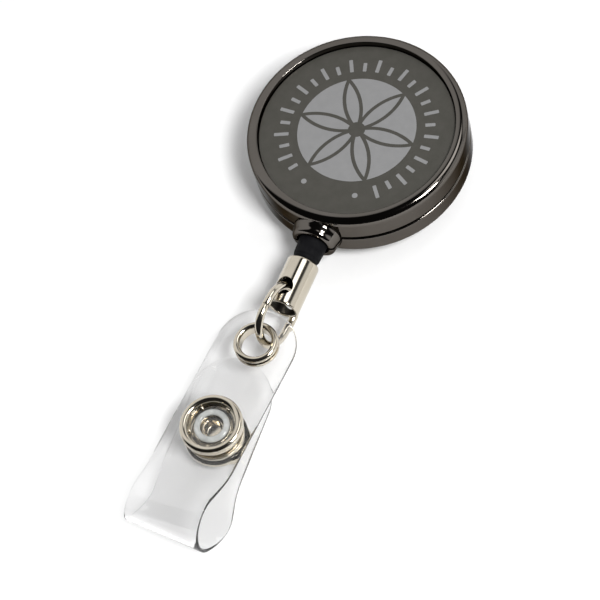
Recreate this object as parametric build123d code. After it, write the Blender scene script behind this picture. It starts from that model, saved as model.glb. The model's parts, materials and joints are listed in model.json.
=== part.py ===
from build123d import *
import math
import os

# Retractable badge reel, millimetres. The origin is the centre of the printed
# face, +Z looks out of the face, and the cord leaves the case along -Y.

# Case
case_r = 16.5
wall = 1.2
rim_top = 0.9
rim_round = 1.1
recess_r = 14.8
disc_r = 14.7
disc_thick = 0.5
adhesive_thick = 0.15
face_plate = 1.0
seam_gap = 0.3
lower_edge = -7.1
plateau_r = 11.5
plateau = -8.3
floor_thick = 0.8
lip_thick = 0.75
lip_top = -2.6
edge_chamfer = 0.3
corner_fill = 0.9
adhesive_inset = 0.4
fit_gap = 0.05

# Cord line and nozzle
cord_z = -3.5
cord_r = 0.45
nozzle_end = 18.3
nozzle_start = 14.9
bushing_r = 2.0
bushing_bore = 0.75
mouth_r = 2.5
mouth_depth = 0.8
bushing_flange_r = 2.6
bushing_flange = (13.65, 14.2)
bushing_trumpet_r = 2.4
bushing_trumpet_end = 15.2
hood_root = (3.2, nozzle_start)
hood_bulge = (3.5, 16.1)
hood_waist = (3.1, 16.95)
hood_lip = (3.4, 17.6)
hood_end = (2.95, nozzle_end)
passage_start = 12.0

# Spool and spring
flange_r = 13.2
front_flange = (-2.6, -2.1)
rear_flange = (-6.7, -6.2)
drum_r = 9.0
drum_wall = 0.8
hub_r = 4.2
hub_recess = 0.5
hub_thick = 0.6
post_r = 1.5
running_gap = 0.06
wound_r = 12.0
wound_rows = 4
spring_band = (-5.9, -3.4)
spring_strip = 0.16
spring_inner_r = 2.1
spring_pitch = 0.62
spring_turns = 9
spring_tang = 0.95

# Post, its screw and its washers
post_tenon_r = 1.0
post_foot_r = 3.0
post_foot_top = -7.0
post_top = front_flange[1] - hub_recess
post_stand = 0.04
post_slot = 0.4
screw_r = 0.7
screw_end = -4.8
screw_head_r = 2.4
screw_head = 0.55
screw_slot = (0.6, 0.25)
washer_r = 2.9
washer_thick = 0.15
foot_washer_thick = 0.22

# Cord inside the case
lead_outside = 0.3
lead_turn_y = 14.4
lead_turn_r = 1.3

# Fitting on the cord's end
sleeve_start = 17.6
sleeve_shoulder = 20.65
sleeve_end = 21.4
sleeve_r = 2.2
sleeve_small_r = 2.0
sleeve_neck_r = 1.85
knot_at = 23.7
knot_r = 0.9
knot_lobe_r = 0.75
knot_lobe_shift = 0.35
crimp = (22.2, 22.65)
crimp_r = 1.55
barrel_start = 21.5
barrel_end = 29.55
barrel_r = 2.42
barrel_bore = 1.95
barrel_cap = 0.6
barrel_round = 0.45
barrel_cord_hole_r = 0.7
cross_hole_y = 26.9
cross_hole_r = 1.5
link_lean = -16.0
link_yaw = -5.0
link_wire_r = 0.6
link_end_r = 3.55
link_far = 35.2
link_near = 26.1

# Strap: the origin of its frame is the eyelet's centre, in the upper layer
eyelet_at = (-1.5, -35.8, -4.0)
strap_yaw = -3.4
strap_half_width = 6.05
vinyl = 0.5
eyelet_bore = 2.25
eyelet_r = 3.3
eyelet_roll = 0.5
eyelet_bite = 0.12
eyelet_wall = 0.2
strap_end = 5.65
snap_at = 14.0
flap_end = 1.8
layer_drop = 3.2
flap_lift = 0.6
lift_bend_at = 6.2
lift_bend_rise = 0.2
flap_settled = 8.9
loop_centre = (26.4, -2.3)
loop_r = 4.0
loop_rise_start = 19.0
loop_fall_start = 19.0
tip_cut = 0.4

# Snap fastener
ring_r = 4.6
ring_opening = 3.5
ring_base = 0.5
prongs = 5
prong_r = 0.28
prong_circle = 3.95
prong_reach = 0.85
prong_groove = (4.19, 3.5, 0.4)
socket_r = 4.2
socket_depth = 1.95
socket_bore = 1.95
socket_roof = 0.3
socket_chamfer = 0.35
spring_groove = (2.4, 0.6)
stud_plate = 0.65
stud_chamfer = 0.25
stud_r = 1.8
stud_head_round = 0.4
stud_neck_r = 1.55
stud_neck = 0.6
stud_height = 1.6
snap_wire_r = 0.18
snap_wire_circle = 2.15
snap_wire_gap = 1.0

# Slip clip
clip_half_width = 3.75
clip_steel = 0.75
clip_fold_y = 14.6
clip_slope_start = 12.6
clip_base_end = 1.6
clip_low = -11.52
clip_bend = (-6.5, -9.05)
clip_lip = (-10.6, -10.9)
clip_split_y = 13.9
clip_split_gap = 0.12
clip_slope_round = 8.0
clip_bend_round = 0.9
clip_leaf_gap = 0.35
lip_corner = 2.0
lip_corner_run = 1.8
ear_y = (4.3, 9.6)
ear_x = 4.75
ear_thick = 0.6
ear_height = 1.75
ear_round = 1.2
rivet_y = 6.0
rivet_r = 1.0
rivet_head_r = 1.9
rivet_head = 0.65
rivet_head_round = 0.52
rivet_tail_r = 1.5
rivet_tail = 0.3
rivet_washer_r = 2.2
rivet_washer_thick = 0.2


def disc(radius, low, high, x=0, y=0):
    """Upright cylinder between two levels."""
    return Pos(x, y, (low + high) / 2) * Cylinder(radius, high - low)


def ring(outer, inner, low, high, x=0, y=0):
    """Upright ring between two levels."""
    return disc(outer, low, high, x, y) - disc(inner, low - 1, high + 1, x, y)


def rod(radius, near, far, z=cord_z):
    """Cylinder along the cord line, from one distance along -Y to another."""
    return Pos(0, -(near + far) / 2, z) * Rot(90, 0, 0) * Cylinder(radius, far - near)


def turned(points):
    """Solid turned about Z from (radius, level) corners."""
    return revolve(Plane.XZ * make_face(Polyline(*points, close=True)), Axis.Z)


def wire(path, radius):
    """Round bar along a path."""
    start = path @ 0
    direction = path % 0
    return sweep(Plane(origin=start, z_dir=direction) * Circle(radius), path=path)


# Case

recess_floor = -disc_thick - adhesive_thick
inner_face = recess_floor - face_plate
seam_top = cord_z + seam_gap / 2
seam_low = cord_z - seam_gap / 2
inner_r = case_r - wall
floor_inside = plateau + floor_thick


def nozzle_hood():
    """Bulbous nozzle with a rolled lip, about the cord line."""
    outline = Spline(hood_root, hood_bulge, hood_waist, hood_lip, hood_end)
    side = Polyline(hood_end, (0, nozzle_end), (0, nozzle_start), hood_root)
    hood = revolve(make_face(outline + side), Axis.Y)
    return Pos(0, 0, cord_z) * Rot(180, 0, 0) * hood


def nozzle_passage():
    """Space for the guide bush and for the sleeve's nose in the mouth."""
    mouth = rod(mouth_r, nozzle_end - mouth_depth, nozzle_end + 1)
    return rod(bushing_r, passage_start, nozzle_end + 1) + mouth


def front_cover():
    rim_flat = case_r - rim_round
    corner_x = rim_flat + rim_round * math.sin(math.pi / 4)
    corner_z = rim_top - rim_round + rim_round * math.cos(math.pi / 4)
    edge = ThreePointArc((rim_flat, rim_top), (corner_x, corner_z), (case_r, rim_top - rim_round))
    below = Polyline(
        (case_r, rim_top - rim_round),
        (case_r, seam_top),
        (inner_r, seam_top),
        (inner_r, inner_face),
        (0, inner_face),
        (0, recess_floor),
        (recess_r, recess_floor),
        (recess_r, rim_top),
        (rim_flat, rim_top),
    )
    shell = revolve(Plane.XZ * make_face(edge + below), Axis.Z)
    space = disc(inner_r, -20, inner_face)
    above_seam = Pos(0, 0, seam_top + 10) * Box(60, 60, 20)
    hood = (nozzle_hood() & above_seam) - space
    return shell + hood - nozzle_passage()


def back_cover():
    lip_r = inner_r - fit_gap
    lip_inner_r = lip_r - lip_thick
    shell = turned([
        (0, plateau),
        (plateau_r, plateau),
        (case_r - edge_chamfer, lower_edge),
        (case_r, lower_edge + edge_chamfer),
        (case_r, seam_low),
        (lip_r, seam_low),
        (lip_r, lip_top),
        (lip_inner_r, lip_top),
        (lip_inner_r, lower_edge + corner_fill),
        (plateau_r - edge_chamfer, floor_inside),
        (0, floor_inside),
    ])
    space = disc(lip_inner_r, floor_inside, 5)
    below_seam = Pos(0, 0, seam_low - 10) * Box(60, 60, 20)
    hood = (nozzle_hood() & below_seam) - space
    shell = shell + hood - nozzle_passage()
    shell -= disc(post_tenon_r + fit_gap, plateau - 1, floor_inside + 1)
    return shell - disc(rivet_r + fit_gap, plateau - 1, floor_inside + 1, y=rivet_y)


def face_disc():
    return disc(disc_r, -disc_thick, 0)


def face_adhesive():
    return disc(disc_r - adhesive_inset, recess_floor, -disc_thick)


def nozzle_bushing():
    """Guide bush with a trumpet entry for the cord and a flat-topped flange."""
    body = rod(bushing_r - fit_gap, bushing_flange[1], nozzle_end - mouth_depth)
    below_face = Pos(0, 0, inner_face - fit_gap - 10) * Box(60, 60, 20)
    flange = rod(bushing_flange_r, *bushing_flange) & below_face
    start = bushing_flange[0]
    depth = bushing_trumpet_end - start
    trumpet = Cone(bushing_trumpet_r, bushing_bore, depth)
    trumpet = Pos(0, -start - depth / 2, cord_z) * Rot(90, 0, 0) * trumpet
    return body + flange - trumpet - rod(bushing_bore, 10, nozzle_end)


# Spool on its post

washer_low = post_top + post_stand
head_low = post_top + washer_thick + post_stand / 2


def spindle():
    """Post riveted into the back, with a slot for the spring's tang and a screw hole."""
    post = disc(post_r, post_foot_top, washer_low)
    foot = disc(post_foot_r, floor_inside, post_foot_top)
    tenon = disc(post_tenon_r, plateau, floor_inside)
    slot_middle = (spring_band[0] + spring_band[1]) / 2
    slot_length = spring_band[1] - spring_band[0] + post_slot
    slot = Pos(post_r, 0, slot_middle) * Box(2 * post_r, post_slot, slot_length)
    return post + foot + tenon - slot - disc(screw_r, screw_end - 0.2, 0)


def spindle_screw():
    head = disc(screw_head_r, head_low, head_low + screw_head)
    shank = disc(screw_r - fit_gap, screw_end, head_low)
    slot_width, slot_depth = screw_slot
    slot = Pos(0, 0, head_low + screw_head) * Box(3 * screw_head_r, slot_width, 2 * slot_depth)
    return head + shank - slot


def washer_front():
    return ring(washer_r, screw_r + 2 * fit_gap, washer_low, post_top + washer_thick)


def washer_back():
    return ring(washer_r, post_r + fit_gap, post_foot_top, post_foot_top + foot_washer_thick)


def spool():
    bore = post_r + running_gap
    drum_inner = drum_r - drum_wall
    hub_low = post_top - hub_thick
    return turned([
        (bore, post_top),
        (hub_r, post_top),
        (hub_r, front_flange[1]),
        (flange_r, front_flange[1]),
        (flange_r, front_flange[0]),
        (drum_r, front_flange[0]),
        (drum_r, rear_flange[1]),
        (flange_r, rear_flange[1]),
        (flange_r, rear_flange[0]),
        (drum_inner, rear_flange[0]),
        (drum_inner, hub_low),
        (bore, hub_low),
    ])


def spool_cap():
    return ring(drum_r - drum_wall - fit_gap, post_r + running_gap, *rear_flange)


def main_spring():
    """Flat spiral of half circles about two centres, with a tang into the post."""
    edges = []
    radius = spring_inner_r
    centre = 0.0
    side = 1
    start = (spring_inner_r, 0)
    edges.append(Line((spring_tang, 0), start))
    for _ in range(2 * spring_turns):
        top = (centre, side * radius)
        finish = (centre - side * radius, 0)
        edges.append(ThreePointArc(start, top, finish))
        start = finish
        radius += spring_pitch / 2
        centre += side * spring_pitch / 2
        side = -side
    strip = trace(Wire(edges), spring_strip)
    height = spring_band[1] - spring_band[0]
    return Pos(0, 0, spring_band[0]) * extrude(strip, height)


def cord_wound():
    """Outer shape of the wound cord: each row shows as a rounded bump."""
    low = rear_flange[1] + fit_gap
    high = front_flange[0] - fit_gap
    row = (high - low) / wound_rows
    bundle = ring(wound_r - row / 2, drum_r + fit_gap, low, high)
    for index in range(wound_rows):
        level = low + row * (index + 0.5)
        bundle += Pos(0, 0, level) * Torus(wound_r - row / 2, row / 2)
    return bundle


def cord_lead():
    """Cord from the winding's tangent point to the nozzle, inside the case."""
    lead_r = wound_r + lead_outside + cord_r
    angle = math.acos(lead_r / lead_turn_y)
    leave = (lead_r * math.sin(angle), -lead_r * math.cos(angle))
    path = FilletPolyline(leave, (0, -lead_turn_y), (0, -sleeve_start), radius=lead_turn_r)
    return wire(Pos(0, 0, cord_z) * path, cord_r)


# Fitting

tail_end = knot_at - knot_r


def cord_tail():
    return rod(cord_r, sleeve_start, tail_end)


def cord_knot():
    """Overhand knot: a ball with four lobes round it."""
    shift = knot_lobe_shift
    knot = Pos(0, -knot_at, cord_z) * Sphere(knot_r)
    for x, z in ((-shift, 0), (shift, 0), (0, shift), (0, -shift)):
        knot += Pos(x, -knot_at, cord_z + z) * Sphere(knot_lobe_r)
    return knot - rod(cord_r, 0, tail_end)


def cord_crimp():
    return rod(crimp_r, *crimp) - rod(cord_r + fit_gap, 0, barrel_end)


def bumper_sleeve():
    length = sleeve_shoulder - sleeve_start
    middle = (sleeve_start + sleeve_shoulder) / 2
    taper = Pos(0, -middle, cord_z) * Rot(90, 0, 0) * Cone(sleeve_r, sleeve_small_r, length)
    neck = rod(sleeve_neck_r, sleeve_shoulder, sleeve_end)
    return taper + neck - rod(cord_r + fit_gap, 0, barrel_end)


def end_barrel():
    tube = rod(barrel_r, barrel_start, barrel_end)
    tube = fillet(tube.edges().filter_by(GeomType.CIRCLE).sort_by(Axis.Y)[-1], barrel_round)
    tube -= rod(barrel_bore, barrel_start + barrel_cap, barrel_end + 1)
    tube -= rod(barrel_cord_hole_r, barrel_start - 1, barrel_end)
    cross = Pos(0, -cross_hole_y, cord_z) * Rot(0, link_lean, 0) * Cylinder(cross_hole_r, 20)
    return tube - cross


def link_ring():
    """Stadium-shaped wire link on edge, leaning with the cross hole and swung to one side."""
    near = -(link_near + link_end_r)
    far = -(link_far - link_end_r)
    right = Line((near, link_end_r), (far, link_end_r))
    far_arc = ThreePointArc((far, link_end_r), (far - link_end_r, 0), (far, -link_end_r))
    left = Line((far, -link_end_r), (near, -link_end_r))
    near_arc = ThreePointArc((near, -link_end_r), (near + link_end_r, 0), (near, link_end_r))
    path = Plane.YZ * Wire([right, far_arc, left, near_arc])
    link = Pos(0, cross_hole_y, 0) * wire(path, link_wire_r)
    return Pos(0, -cross_hole_y, cord_z) * Rot(0, link_lean, 0) * Rot(0, 0, link_yaw) * link


# Strap, built in its own frame: along -Y from the eyelet, +Z up

strap_frame = Pos(*eyelet_at) * Rot(0, 0, strap_yaw)
half_vinyl = vinyl / 2


def blend_arc(level, start, rising):
    """Arc that leaves a flat layer and meets the loop's circle tangentially."""
    along, centre_z = loop_centre
    sign = 1 if rising else -1
    gap = sign * (level - centre_z)
    run = along - start
    radius = (run**2 - loop_r**2 + gap**2) / (2 * (loop_r - gap))
    arc_z = level + sign * radius
    share = radius / (radius + loop_r)
    meet = (start + (along - start) * share, arc_z + (centre_z - arc_z) * share)
    turn = math.atan2(meet[0] - start, sign * (arc_z - meet[1])) / 2
    middle = (start + radius * math.sin(turn), arc_z - sign * radius * math.cos(turn))
    return middle, meet


def layer(path_edges, end_centre, end_r):
    """Vinyl layer: a thick path, one end rounded in plan."""
    section = Plane.YZ * trace(Wire(path_edges), vinyl)
    sheet = extrude(section, strap_half_width, both=True)
    far = loop_centre[0] + loop_r + 2
    run = Pos(0, -(end_centre + far) / 2, 0) * Box(2 * strap_half_width, far - end_centre, 40)
    plan = run + Pos(0, -end_centre, 0) * Cylinder(end_r, 40)
    return sheet & plan


def loop_point(angle, radius=loop_r):
    """Point on the loop, as (-Y distance, level), angle in degrees from the tip."""
    turn = math.radians(angle)
    return -(loop_centre[0] + radius * math.cos(turn)), loop_centre[1] + radius * math.sin(turn)


def prong_points():
    step = 360 / prongs
    turns = [math.radians(step * k) for k in range(prongs)]
    return [(prong_circle * math.cos(turn), prong_circle * math.sin(turn) - snap_at) for turn in turns]


def strap_upper():
    middle, meet = blend_arc(0, loop_rise_start, True)
    tip = math.degrees(tip_cut / loop_r)
    flat = Line((strap_end, 0), (-loop_rise_start, 0))
    rise = ThreePointArc((-loop_rise_start, 0), (-middle[0], middle[1]), (-meet[0], meet[1]))
    loop = ThreePointArc((-meet[0], meet[1]), loop_point(65), loop_point(tip))
    strap = layer([flat, rise, loop], strap_half_width - strap_end, strap_half_width)
    strap -= Cylinder(eyelet_bore + eyelet_wall + fit_gap, 10)
    for x, y in prong_points():
        strap -= disc(prong_r + fit_gap, -1, 1, x, y)
    return strap_frame * strap


def strap_flap():
    middle, meet = blend_arc(-layer_drop, loop_fall_start, False)
    tip = math.degrees(tip_cut / loop_r)
    level = -layer_drop
    bend = (-lift_bend_at, level + lift_bend_rise)
    lifted = Line((-flap_end, level + flap_lift), bend)
    settle = TangentArc(bend, (-flap_settled, level), tangent=(lifted % 1))
    flat = Line((-flap_settled, level), (-loop_fall_start, level))
    fall = ThreePointArc((-loop_fall_start, level), (-middle[0], middle[1]), (-meet[0], meet[1]))
    loop = ThreePointArc((-meet[0], meet[1]), loop_point(-65), loop_point(-tip))
    strap = layer([lifted, settle, flat, fall, loop], flap_end + strap_half_width, strap_half_width)
    for x, y in prong_points():
        strap -= disc(prong_r + fit_gap, level - 1, level + 1, x, y)
    return strap_frame * strap


def strap_eyelet():
    """Thin barrel through the vinyl, rolled over on both faces and biting into it."""
    roll_z = half_vinyl + eyelet_roll - eyelet_bite
    roll_r = eyelet_r - eyelet_roll
    eyelet = ring(eyelet_bore + eyelet_wall, eyelet_bore, -roll_z, roll_z)
    for side in (-1, 1):
        eyelet += Pos(0, 0, side * roll_z) * Torus(roll_r, eyelet_roll)
    eyelet -= ring(eyelet_r + 1, eyelet_bore + eyelet_wall, -half_vinyl, half_vinyl)
    return strap_frame * (eyelet - Cylinder(eyelet_bore, 10))


def prong_ring(surface, outward):
    """Open ring with a rolled rim on one face of the vinyl, its prongs through the sheet."""
    roll_level = surface + outward * ring_base
    roll_r = (ring_r + ring_opening) / 2
    roll = (ring_r - ring_opening) / 2
    body = ring(ring_r, ring_opening, *sorted((surface, roll_level)), y=-snap_at)
    body += Pos(0, -snap_at, roll_level) * Torus(roll_r, roll)
    prong_end = surface - outward * prong_reach
    body -= disc(ring_r + 1, *sorted((prong_end, surface)), y=-snap_at)
    for x, y in prong_points():
        body += disc(prong_r, *sorted((prong_end, surface)), x, y)
    return body


def prong_room(face, inward):
    """Groove that takes the prongs' ends, cut into a flat face."""
    outer, inner, depth = prong_groove
    return ring(outer, inner, *sorted((face - inward, face + inward * depth)), y=-snap_at)


def snap_ring_top():
    return strap_frame * prong_ring(half_vinyl, 1)


def snap_ring_bottom():
    return strap_frame * prong_ring(-layer_drop - half_vinyl, -1)


def snap_socket():
    top = -half_vinyl
    low = top - socket_depth
    body = disc(socket_r, low, top, y=-snap_at)
    body = chamfer(body.edges().group_by(Axis.Z)[0], socket_chamfer)
    body -= disc(socket_bore, low - 1, top - socket_roof, y=-snap_at)
    middle = (low + top) / 2
    groove_r, groove_height = spring_groove
    body -= disc(groove_r, middle - groove_height / 2, middle + groove_height / 2, y=-snap_at)
    return strap_frame * (body - prong_room(top, -1))


def snap_spring():
    """Open wire ring that grips the stud's head."""
    level = -half_vinyl - socket_depth / 2
    coil = Pos(0, -snap_at, level) * Torus(snap_wire_circle, snap_wire_r)
    gap = Pos(snap_wire_circle, -snap_at, level) * Box(1, snap_wire_gap, 1)
    return strap_frame * (coil - gap)


def snap_stud():
    base = -layer_drop + half_vinyl
    top = base + stud_plate
    plate = disc(socket_r, base, top, y=-snap_at)
    plate = chamfer(plate.edges().group_by(Axis.Z)[-1], stud_chamfer)
    neck = disc(stud_neck_r, top, top + stud_height, y=-snap_at)
    head = disc(stud_r, top + stud_neck, top + stud_height, y=-snap_at)
    head = fillet(head.edges().group_by(Axis.Z)[-1], stud_head_round)
    return strap_frame * (plate - prong_room(base, 1) + neck + head)


# Slip clip

def clip_strip():
    """The whole clip strip in side view, both leaves and the fold."""
    base_z = plateau - clip_steel / 2
    fold_r = (base_z - clip_low) / 2
    base = Line((clip_base_end, base_z), (clip_fold_y, base_z))
    fold = ThreePointArc(base @ 1, (clip_fold_y + fold_r, base_z - fold_r), (clip_fold_y, clip_low))
    slope_start = (clip_slope_start, clip_low)
    rounds = [clip_slope_round, clip_bend_round]
    leaf = FilletPolyline(fold @ 1, slope_start, clip_bend, clip_lip, radius=rounds)
    side = trace([base, fold, *leaf.edges()], clip_steel)
    return extrude(Plane.YZ * side, clip_half_width, both=True)


def fold_zone(near):
    """Space past the end of the base leaf, where the strip folds over."""
    return Pos(0, near + 10, 0) * Box(40, 20, 60)


def upper_zone():
    """Space of the base leaf, above the gap between the two leaves."""
    low = plateau - clip_steel - clip_leaf_gap
    near = clip_base_end - 0.5
    return Pos(0, near + 15, low + 5) * Box(40, 30, 10)


def clip_base():
    """Short leaf riveted to the back, widened where its two ears are bent down."""
    strip = clip_strip()
    base = strip & (fold_zone(clip_split_y) + upper_zone())
    ear_length = ear_y[1] - ear_y[0]
    ear_middle = (ear_y[0] + ear_y[1]) / 2
    base_low = plateau - clip_steel
    base += Pos(0, ear_middle, plateau - clip_steel / 2) * Box(2 * ear_x, ear_length, clip_steel)
    for side in (-1, 1):
        x = side * (ear_x - ear_thick / 2)
        ear = Pos(x, ear_middle, base_low - ear_height / 2) * Box(ear_thick, ear_length, ear_height)
        ear = fillet(ear.edges().filter_by(Axis.X).group_by(Axis.Z)[0], ear_round)
        base += ear
    return base - disc(rivet_r + fit_gap, base_low - 1, plateau + 1, y=rivet_y)


def clip_leaf():
    """Long leaf with its flared lip, the lip's two corners cut off."""
    leaf = clip_strip() - fold_zone(clip_split_y - clip_split_gap) - upper_zone()
    side = clip_half_width - lip_corner
    end = clip_lip[0] - clip_steel
    corner = end + lip_corner_run
    outline = Polyline(
        (-clip_half_width, clip_fold_y),
        (clip_half_width, clip_fold_y),
        (clip_half_width, corner),
        (side, end),
        (-side, end),
        (-clip_half_width, corner),
        close=True,
    )
    return leaf & Pos(0, 0, -20) * extrude(make_face(outline), 20)


def clip_rivet():
    low = plateau - clip_steel
    head = disc(rivet_head_r, low - rivet_head, low, y=rivet_y)
    head = fillet(head.edges().group_by(Axis.Z)[0], rivet_head_round)
    tail_low = floor_inside + rivet_washer_thick
    shank = disc(rivet_r, low, tail_low, y=rivet_y)
    tail = disc(rivet_tail_r, tail_low, tail_low + rivet_tail, y=rivet_y)
    return head + shank + tail


def rivet_washer():
    high = floor_inside + rivet_washer_thick
    return ring(rivet_washer_r, rivet_r + fit_gap, floor_inside, high, y=rivet_y)


case_pieces = [front_cover, back_cover, face_disc, face_adhesive, nozzle_bushing]
post_pieces = [spindle, spindle_screw, washer_front, washer_back]
spool_pieces = [spool, spool_cap, main_spring, cord_wound]
cord_pieces = [cord_lead, cord_tail, cord_knot, cord_crimp]
fitting_pieces = [bumper_sleeve, end_barrel, link_ring]
strap_pieces = [strap_upper, strap_flap, strap_eyelet]
snap_pieces = [snap_ring_top, snap_socket, snap_spring, snap_stud, snap_ring_bottom]
clip_pieces = [clip_base, clip_leaf, clip_rivet, rivet_washer]
pieces = case_pieces + post_pieces + spool_pieces + cord_pieces
pieces += fitting_pieces + strap_pieces + snap_pieces + clip_pieces

os.makedirs("parts", exist_ok=True)
for piece in pieces:
    export_step(piece(), f"parts/{piece.__name__}.step")
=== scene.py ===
import json
import math

import bmesh
import bpy
from mathutils import Matrix, Vector


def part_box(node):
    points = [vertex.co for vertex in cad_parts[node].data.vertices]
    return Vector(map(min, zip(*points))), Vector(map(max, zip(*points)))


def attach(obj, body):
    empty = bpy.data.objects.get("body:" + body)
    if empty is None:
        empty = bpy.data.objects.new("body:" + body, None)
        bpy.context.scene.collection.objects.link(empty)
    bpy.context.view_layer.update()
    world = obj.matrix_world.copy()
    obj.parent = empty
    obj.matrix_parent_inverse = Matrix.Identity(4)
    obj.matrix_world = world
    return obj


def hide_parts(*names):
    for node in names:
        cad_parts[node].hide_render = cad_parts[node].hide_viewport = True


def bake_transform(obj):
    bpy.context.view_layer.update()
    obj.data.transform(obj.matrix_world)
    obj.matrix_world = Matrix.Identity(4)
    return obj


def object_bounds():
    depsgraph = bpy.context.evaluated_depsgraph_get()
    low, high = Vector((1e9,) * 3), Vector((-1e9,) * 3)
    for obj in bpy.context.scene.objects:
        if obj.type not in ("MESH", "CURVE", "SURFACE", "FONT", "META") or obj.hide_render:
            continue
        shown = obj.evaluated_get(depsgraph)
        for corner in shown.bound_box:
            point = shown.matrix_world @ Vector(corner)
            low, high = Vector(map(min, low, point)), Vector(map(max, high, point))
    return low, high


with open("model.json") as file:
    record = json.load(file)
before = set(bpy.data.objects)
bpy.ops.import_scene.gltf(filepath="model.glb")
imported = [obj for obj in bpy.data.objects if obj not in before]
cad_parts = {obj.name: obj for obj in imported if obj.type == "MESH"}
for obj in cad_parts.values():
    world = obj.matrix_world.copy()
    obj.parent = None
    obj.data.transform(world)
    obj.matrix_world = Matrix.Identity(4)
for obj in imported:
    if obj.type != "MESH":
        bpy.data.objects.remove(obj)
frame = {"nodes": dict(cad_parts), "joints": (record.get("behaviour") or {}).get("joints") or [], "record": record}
cad_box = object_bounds()

# Lengths are millimetres in the row frame, +Z out of the face and the cord along -Y. Lamps use metres.
MM = 0.001
ROUND = 192


def cad_mm(node):
    """Lowest and highest corner of a CAD node, in millimetres."""
    low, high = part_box(node)
    return Vector(low) / MM, Vector(high) / MM


def middle(node):
    low, high = cad_mm(node)
    return (low + high) / 2


def joint(name):
    return next(row for row in frame["joints"] if row["name"] == name)


# Measures read from the frame
cover_low, cover_high = cad_mm("front_cover")
back_low, back_high = cad_mm("back_cover")
disc_low, disc_high = cad_mm("face_disc")
sleeve_low, sleeve_high = cad_mm("bumper_sleeve")
barrel_low, barrel_high = cad_mm("end_barrel")
tail_low, tail_high = cad_mm("cord_tail")
rivet_low, rivet_high = cad_mm("clip_rivet")
case_r = cover_high.x
rim_top = cover_high.z
seam_top = cover_low.z
nozzle_end = -cover_low.y
plateau = back_low.z
lip_top = back_high.z
disc_r = disc_high.x
cord_z = middle("bumper_sleeve").z
seam_half = seam_top - cord_z
floor_z = Vector(cad_box[0]).z / MM
link_axis = Vector(joint("link_swing")["axis"])
badge_loop = next(m for m in frame["record"]["mounts"] if m["name"] == "badge_loop")
strap_across = Vector(badge_loop["axis"])


# Mesh helpers: every mesh is built in millimetres and scaled to metres in place()

def rounded(corners, steps=5):
    """Closed outline through (x, y, radius) corners, each corner turned into an arc."""
    outline = []
    for index, (x, y, radius) in enumerate(corners):
        here = Vector((x, y))
        if not radius:
            outline.append(here)
            continue
        before = (Vector(corners[index - 1][:2]) - here).normalized()
        after = (Vector(corners[(index + 1) % len(corners)][:2]) - here).normalized()
        half = before.angle(after) / 2
        centre = here + (before + after).normalized() * radius / math.sin(half)
        first = here + before * radius / math.tan(half) - centre
        last = here + after * radius / math.tan(half) - centre
        turn = math.pi - 2 * half
        for step in range(steps + 1):
            part = step / steps
            near, far = math.sin((1 - part) * turn), math.sin(part * turn)
            outline.append(centre + (first * near + last * far) / math.sin(turn))
    return outline


def smooth_curve(points, steps=6):
    """Catmull-Rom curve through 2-D points, its ends included."""
    points = [Vector(p) for p in points]
    padded = [2 * points[0] - points[1], *points, 2 * points[-1] - points[-2]]
    curve = []
    for a, b, c, d in zip(padded, padded[1:], padded[2:], padded[3:]):
        slope = c - a
        bend = a * 2 - b * 5 + c * 4 - d
        twist = b * 3 - a - c * 3 + d
        for step in range(steps):
            t = step / steps
            curve.append((b * 2 + slope * t + bend * t**2 + twist * t**3) / 2)
    return [*curve, points[-1]]


def add_loops(bm, loops, closed=True):
    """Quads between neighbouring loops of vertices; repeated vertices make triangles."""
    pairs = zip(loops, loops[1:] + loops[:1]) if closed else zip(loops, loops[1:])
    for one, two in pairs:
        for index in range(len(one)):
            beside = (index + 1) % len(one)
            corners = list(dict.fromkeys([one[index], one[beside], two[beside], two[index]]))
            if len(corners) > 2:
                bm.faces.new(corners)


def lathe(outline, segments=ROUND):
    """Solid turned about Z from a closed (radius, level) outline."""
    bm = bmesh.new()
    angles = [math.tau * k / segments for k in range(segments)]
    loops = []
    for radius, level in outline:
        if radius < 1e-6:
            loops.append([bm.verts.new((0, 0, level))] * segments)
            continue
        loops.append([bm.verts.new((radius * math.cos(a), radius * math.sin(a), level)) for a in angles])
    add_loops(bm, loops)
    return bm


def cylinder(radius, low, high, segments, hole_r=0):
    """Cylinder about Z between two levels, or a ring where it has a hole."""
    return lathe([(hole_r, low), (radius, low), (radius, high), (hole_r, high)], segments)


def tube(points, radius, sides):
    """Round bar along 3-D points, its section carried along without twist."""
    bm = bmesh.new()
    angles = [math.tau * k / sides for k in range(sides)]
    last = len(points) - 1
    loops = []
    side = None
    for index, point in enumerate(points):
        along = (points[min(index + 1, last)] - points[max(index - 1, 0)]).normalized()
        side = along.orthogonal() if side is None else side - along * side.dot(along)
        side.normalize()
        other = along.cross(side)
        ring = [side * math.cos(a) + other * math.sin(a) for a in angles]
        loops.append([bm.verts.new(point + outwards * radius) for outwards in ring])
    add_loops(bm, loops, closed=False)
    bm.faces.new(loops[0])
    bm.faces.new(loops[-1])
    return bm


def prism(outline, low, high):
    """Upright solid between two levels from a closed (x, y) outline."""
    bm = bmesh.new()
    loops = [[bm.verts.new((x, y, level)) for x, y in outline] for level in (low, high)]
    add_loops(bm, loops, closed=False)
    bm.faces.new(loops[0])
    bm.faces.new(loops[1])
    return bm


def moved(bm, matrix):
    bmesh.ops.transform(bm, matrix=matrix, verts=bm.verts)
    return bm


def shift_round(radius, turn, level=0):
    """Shift from the Z axis to a place on a circle about it."""
    return Matrix.Translation((radius * math.cos(turn), radius * math.sin(turn), level))


def joined(*parts):
    """One mesh that holds all the parts' shells."""
    whole = bmesh.new()
    for part in parts:
        mesh = bpy.data.meshes.new("part")
        part.to_mesh(mesh)
        part.free()
        whole.from_mesh(mesh)
        bpy.data.meshes.remove(mesh)
    return whole


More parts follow.
